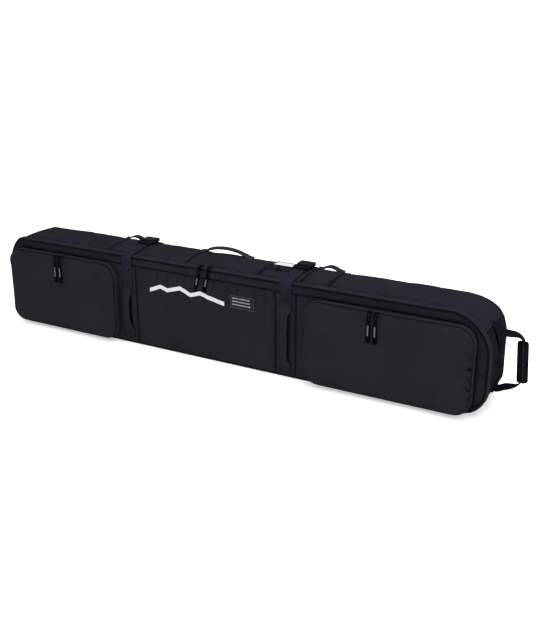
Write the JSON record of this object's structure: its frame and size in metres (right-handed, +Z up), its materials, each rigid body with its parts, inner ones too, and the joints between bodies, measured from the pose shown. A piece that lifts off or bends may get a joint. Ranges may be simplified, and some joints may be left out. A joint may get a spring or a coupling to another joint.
{
  "type": "snowboard bag",
  "caption": "Long padded wheeled travel bag for a snowboard, with a zipped front lid, two bellows pockets, compression straps, carry handles and a tow handle.",
  "frame": {"origin": "middle of the flat edge that the bag stands on", "axes": "+X along the bag towards the tow handle, -Y out of the pocket side, +Z up"},
  "size_m": [1.757, 0.2813, 0.325],
  "materials": {
    "shell_fabric": "woven polyester, matt",
    "lid_fabric": "woven polyester, matt",
    "webbing": "ribbed webbing",
    "zip_tape": "knitted tape",
    "buckle_plastic": "moulded, satin gloss",
    "slider_metal": "black coated zinc",
    "pull_rubber": "moulded pull",
    "housing_plastic": "grained moulding",
    "hub_plastic": "moulded",
    "tyre": "urethane",
    "steel": "turned",
    "window": "clear pane over a pale card",
    "label": "moulded patch",
    "batten_plastic": "extruded strip",
    "grip_foam": "foam covered with fabric"
  },
  "bodies": {
    "shell": {"back_battens": "batten_plastic", "back_panel": "shell_fabric", "body_zip_tape": "zip_tape", "bottom_panel": "shell_fabric", "centre_handle_tabs": "webbing", "document_zip": "zip_tape", "housing_rivets": "steel", "id_frame": "webbing", "id_window": "window", "inner_strap_buckles": "buckle_plastic", "inner_straps": "webbing", "left_buckle_frame": "buckle_plastic", "left_end_panel": "shell_fabric", "left_rear_strap": "webbing", "right_buckle_frame": "buckle_plastic", "right_end_panel": "shell_fabric", "right_rear_strap": "webbing", "side_handles": "webbing", "top_panels": "shell_fabric", "tow_anchor": "webbing", "wheel_axles": "steel", "wheel_bushes": "hub_plastic", "wheel_housing": "housing_plastic"},
    "lid": {"lid_panel": "lid_fabric", "lid_zip_tape": "zip_tape", "label_patch": "label", "left_front_handle": "webbing", "left_lid_strap": "webbing", "left_pocket_gusset": "lid_fabric", "right_front_handle": "webbing", "right_lid_strap": "webbing", "right_pocket_gusset": "lid_fabric"},
    "left_pocket": {"left_pocket_cover": "lid_fabric"},
    "left_socket": {"left_buckle_socket": "buckle_plastic"},
    "left_prong_a": {"left_buckle_prong_a": "buckle_plastic"},
    "left_pocket_slider_a": {"left_pocket_slider_a": "slider_metal"},
    "left_pocket_pull_a": {"left_pocket_pull_a": "pull_rubber"},
    "left_prong_b": {"left_buckle_prong_b": "buckle_plastic"},
    "left_pocket_slider_b": {"left_pocket_slider_b": "slider_metal"},
    "left_pocket_pull_b": {"left_pocket_pull_b": "pull_rubber"},
    "right_pocket": {"right_pocket_cover": "lid_fabric"},
    "right_socket": {"right_buckle_socket": "buckle_plastic"},
    "right_prong_a": {"right_buckle_prong_a": "buckle_plastic"},
    "right_pocket_slider_a": {"right_pocket_slider_a": "slider_metal"},
    "right_pocket_pull_a": {"right_pocket_pull_a": "pull_rubber"},
    "right_prong_b": {"right_buckle_prong_b": "buckle_plastic"},
    "right_pocket_slider_b": {"right_pocket_slider_b": "slider_metal"},
    "right_pocket_pull_b": {"right_pocket_pull_b": "pull_rubber"},
    "main_slider_a": {"main_slider_a": "slider_metal"},
    "main_pull_a": {"main_pull_a": "pull_rubber"},
    "main_slider_b": {"main_slider_b": "slider_metal"},
    "main_pull_b": {"main_pull_b": "pull_rubber"},
    "document_slider": {"document_slider": "slider_metal"},
    "grab_handle": {"centre_handle": "webbing"},
    "tow_handle": {"tow_handle": "webbing", "tow_grip": "grip_foam"},
    "lower_wheel": {"lower_wheel_hub": "hub_plastic", "lower_wheel_tyre": "tyre"},
    "upper_wheel": {"upper_wheel_hub": "hub_plastic", "upper_wheel_tyre": "tyre"}
  },
  "joints": [
    {"name": "lid_hinge", "type": "hinge", "parent": "shell", "child": "lid", "pos_m": [0, -0.085, 0], "axis": [1, 0, 0], "range_deg": [0, 90]},
    {"name": "left_pocket_hinge", "type": "hinge", "parent": "lid", "child": "left_pocket", "pos_m": [-0.5855, -0.11, 0.01], "axis": [1, 0, 0], "range_deg": [0, 85]},
    {"name": "right_pocket_hinge", "type": "hinge", "parent": "lid", "child": "right_pocket", "pos_m": [0.5465, -0.11, 0.01], "axis": [1, 0, 0], "range_deg": [0, 85]},
    {"name": "main_slider_a_travel", "type": "slide", "parent": "lid", "child": "main_slider_a", "axis": [1, 0, 0], "range_m": [-0.23, 0]},
    {"name": "main_slider_b_travel", "type": "slide", "parent": "lid", "child": "main_slider_b", "axis": [1, 0, 0], "range_m": [0, 0.215]},
    {"name": "main_pull_a_swing", "type": "hinge", "parent": "main_slider_a", "child": "main_pull_a", "pos_m": [-0.058, -0.0884, 0.2962], "axis": [-1, 0, 0], "range_deg": [0, 120]},
    {"name": "main_pull_b_swing", "type": "hinge", "parent": "main_slider_b", "child": "main_pull_b", "pos_m": [-0.026, -0.0884, 0.2962], "axis": [-1, 0, 0], "range_deg": [0, 120]},
    {"name": "left_pocket_slider_a_travel", "type": "slide", "parent": "left_pocket", "child": "left_pocket_slider_a", "axis": [1, 0, 0], "range_m": [-0.155, 0]},
    {"name": "left_pocket_pull_a_swing", "type": "hinge", "parent": "left_pocket_slider_a", "child": "left_pocket_pull_a", "pos_m": [-0.591, -0.1284, 0.262], "axis": [-1, 0, 0], "range_deg": [0, 120]},
    {"name": "left_pocket_slider_b_travel", "type": "slide", "parent": "left_pocket", "child": "left_pocket_slider_b", "axis": [1, 0, 0], "range_m": [0, 0.15]},
    {"name": "left_pocket_pull_b_swing", "type": "hinge", "parent": "left_pocket_slider_b", "child": "left_pocket_pull_b", "pos_m": [-0.571, -0.1284, 0.262], "axis": [-1, 0, 0], "range_deg": [0, 120]},
    {"name": "right_pocket_slider_a_travel", "type": "slide", "parent": "right_pocket", "child": "right_pocket_slider_a", "axis": [1, 0, 0], "range_m": [-0.145, 0]},
    {"name": "right_pocket_pull_a_swing", "type": "hinge", "parent": "right_pocket_slider_a", "child": "right_pocket_pull_a", "pos_m": [0.504, -0.1284, 0.262], "axis": [-1, 0, 0], "range_deg": [0, 120]},
    {"name": "right_pocket_slider_b_travel", "type": "slide", "parent": "right_pocket", "child": "right_pocket_slider_b", "axis": [1, 0, 0], "range_m": [0, 0.21]},
    {"name": "right_pocket_pull_b_swing", "type": "hinge", "parent": "right_pocket_slider_b", "child": "right_pocket_pull_b", "pos_m": [0.524, -0.1284, 0.262], "axis": [-1, 0, 0], "range_deg": [0, 120]},
    {"name": "document_slider_travel", "type": "slide", "parent": "shell", "child": "document_slider", "axis": [1, 0, 0], "range_m": [-0.03, 0.028]},
    {"name": "left_buckle_release", "type": "slide", "parent": "shell", "child": "left_socket", "axis": [0, 1, 0], "range_m": [0, 0.025]},
    {"name": "left_prong_a_squeeze", "type": "hinge", "parent": "shell", "child": "left_prong_a", "pos_m": [-0.347, 0.0285, 0.311], "axis": [0, 0, -1], "range_deg": [0, 6], "stiffness_Nm_per_rad": 0.6},
    {"name": "left_prong_b_squeeze", "type": "hinge", "parent": "shell", "child": "left_prong_b", "pos_m": [-0.315, 0.0285, 0.311], "axis": [0, 0, 1], "range_deg": [0, 6], "stiffness_Nm_per_rad": 0.6},
    {"name": "right_buckle_release", "type": "slide", "parent": "shell", "child": "right_socket", "axis": [0, 1, 0], "range_m": [0, 0.025]},
    {"name": "right_prong_a_squeeze", "type": "hinge", "parent": "shell", "child": "right_prong_a", "pos_m": [0.215, 0.0285, 0.311], "axis": [0, 0, -1], "range_deg": [0, 6], "stiffness_Nm_per_rad": 0.6},
    {"name": "right_prong_b_squeeze", "type": "hinge", "parent": "shell", "child": "right_prong_b", "pos_m": [0.247, 0.0285, 0.311], "axis": [0, 0, 1], "range_deg": [0, 6], "stiffness_Nm_per_rad": 0.6},
    {"name": "grab_handle_fold", "type": "hinge", "parent": "shell", "child": "grab_handle", "pos_m": [-0.043, 0.043, 0.3086], "axis": [1, 0, 0], "range_deg": [-75, 75]},
    {"name": "tow_handle_fold", "type": "hinge", "parent": "shell", "child": "tow_handle", "pos_m": [0.836, 0.008, 0.142], "axis": [0, 0, 1], "range_deg": [-60, 60]},
    {"name": "lower_wheel_spin", "type": "hinge", "parent": "shell", "child": "lower_wheel", "pos_m": [-0.812, 0.112, 0.066], "axis": [0, 0, 1], "continuous": true},
    {"name": "upper_wheel_spin", "type": "hinge", "parent": "shell", "child": "upper_wheel", "pos_m": [-0.812, 0.112, 0.206], "axis": [0, 0, 1], "continuous": true}
  ],
  "couplings": [
    {"joint": "left_prong_b_squeeze", "follows": "left_prong_a_squeeze", "ratio": 1},
    {"joint": "right_prong_b_squeeze", "follows": "right_prong_a_squeeze", "ratio": 1}
  ]
}
